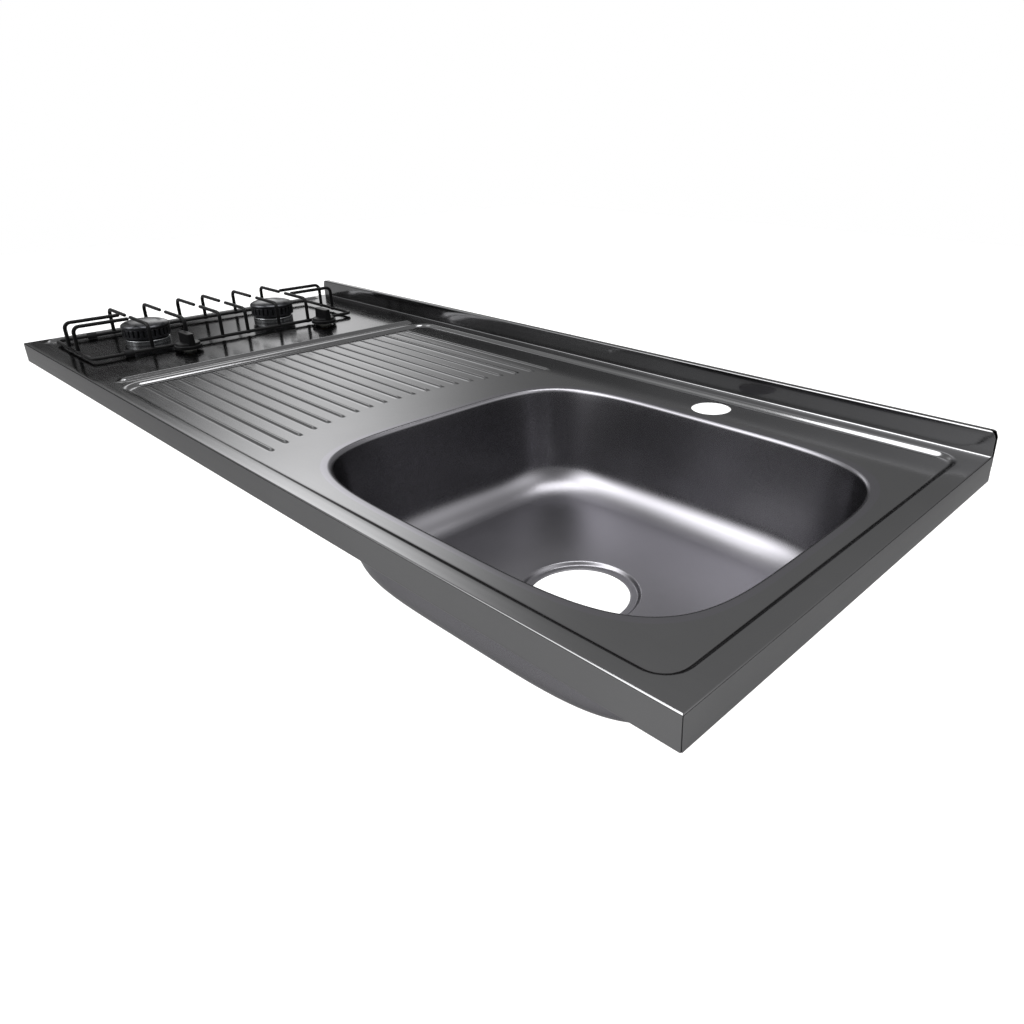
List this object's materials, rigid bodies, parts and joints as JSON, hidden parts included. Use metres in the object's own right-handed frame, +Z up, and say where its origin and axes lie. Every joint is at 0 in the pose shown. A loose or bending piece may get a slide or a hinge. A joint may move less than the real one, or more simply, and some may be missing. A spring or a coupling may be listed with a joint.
{
  "type": "kitchenette worktop with sink and gas hob",
  "caption": "Pressed stainless steel kitchenette worktop with a sink bowl, ridged drainer, rear upstand and a built-in gas hob with wire pan support and knobs.",
  "frame": {"origin": "middle of the underside of the front apron's lip, where the worktop rests on the cabinet's front rail", "axes": "+X to the right along the worktop, +Y from the front to the wall, +Z up"},
  "size_m": [1.2, 0.5, 0.1775],
  "materials": {
    "satin_steel": "satin stainless steel with a fine directional grain",
    "galvanised_steel": "galvanised, dull with faint spangle",
    "bitumen_pad": "matt, slightly grainy",
    "zinc_plate": "bright zinc plate",
    "cast_aluminium": "turned and fine-cast, satin",
    "cap_metal": "anodised, satin",
    "brass": "machined, slightly dulled",
    "knob_plastic": "moulded, semi-gloss black",
    "tube_aluminium": "drawn tube, satin",
    "black_enamel": "vitreous enamel, semi-gloss black",
    "black_rubber": "matt"
  },
  "bodies": {
    "worktop": {"worktop_sheet": "satin_steel", "sink_bowl": "satin_steel", "drainer_channel": "galvanised_steel", "bowl_channel": "galvanised_steel", "damping_pad": "bitumen_pad", "fixing_brackets": "galvanised_steel", "burner_tray": "galvanised_steel", "tray_studs": "zinc_plate", "tray_nuts": "zinc_plate", "front_burner_cup": "cast_aluminium", "rear_burner_cup": "cast_aluminium", "front_mixing_tube": "cast_aluminium", "rear_mixing_tube": "cast_aluminium", "front_injector": "brass", "rear_injector": "brass", "burner_screws": "zinc_plate", "front_gas_tap": "brass", "rear_gas_tap": "brass", "tap_nuts": "zinc_plate", "front_gas_tube": "tube_aluminium", "rear_gas_tube": "tube_aluminium", "tube_nuts": "brass", "gas_manifold": "zinc_plate", "manifold_clamps": "galvanised_steel", "clamp_screws": "zinc_plate", "pipe_grommet": "black_rubber", "gas_inlet_fitting": "brass"},
    "pan_support": {"pan_support": "black_enamel", "pan_support_feet": "black_rubber"},
    "front_crown": {"front_burner_crown": "cast_aluminium"},
    "rear_crown": {"rear_burner_crown": "cast_aluminium"},
    "front_cap": {"front_burner_cap": "cap_metal"},
    "rear_cap": {"rear_burner_cap": "cap_metal"},
    "front_plug": {"front_tap_plug": "brass"},
    "rear_plug": {"rear_tap_plug": "brass"},
    "front_knob": {"front_knob": "knob_plastic", "front_spindle": "zinc_plate"},
    "rear_knob": {"rear_knob": "knob_plastic", "rear_spindle": "zinc_plate"}
  },
  "joints": [
    {"name": "pan_support_lift", "type": "slide", "parent": "worktop", "child": "pan_support", "axis": [0, 0, 1], "range_m": [0, 0.12]},
    {"name": "front_crown_lift", "type": "slide", "parent": "worktop", "child": "front_crown", "axis": [0, 0, 1], "range_m": [0, 0.024]},
    {"name": "front_cap_lift", "type": "slide", "parent": "front_crown", "child": "front_cap", "axis": [0, 0, 1], "range_m": [0, 0.036]},
    {"name": "front_tap_turn", "type": "hinge", "parent": "worktop", "child": "front_plug", "pos_m": [-0.3785, 0.141, 0.028], "axis": [0, 0, 1], "range_deg": [0, 190]},
    {"name": "front_knob_push", "type": "slide", "parent": "front_plug", "child": "front_knob", "axis": [0, 0, -1], "range_m": [0, 0.003], "stiffness_N_per_m": 800, "springref_m": -0.002},
    {"name": "rear_crown_lift", "type": "slide", "parent": "worktop", "child": "rear_crown", "axis": [0, 0, 1], "range_m": [0, 0.024]},
    {"name": "rear_cap_lift", "type": "slide", "parent": "rear_crown", "child": "rear_cap", "axis": [0, 0, 1], "range_m": [0, 0.036]},
    {"name": "rear_tap_turn", "type": "hinge", "parent": "worktop", "child": "rear_plug", "pos_m": [-0.3785, 0.354, 0.028], "axis": [0, 0, 1], "range_deg": [0, 190]},
    {"name": "rear_knob_push", "type": "slide", "parent": "rear_plug", "child": "rear_knob", "axis": [0, 0, -1], "range_m": [0, 0.003], "stiffness_N_per_m": 800, "springref_m": -0.002}
  ],
  "couplings": [
    {"joint": "front_crown_lift", "follows": "pan_support_lift", "ratio": 0.2},
    {"joint": "front_cap_lift", "follows": "pan_support_lift", "ratio": 0.3},
    {"joint": "rear_crown_lift", "follows": "pan_support_lift", "ratio": 0.2},
    {"joint": "rear_cap_lift", "follows": "pan_support_lift", "ratio": 0.3}
  ]
}
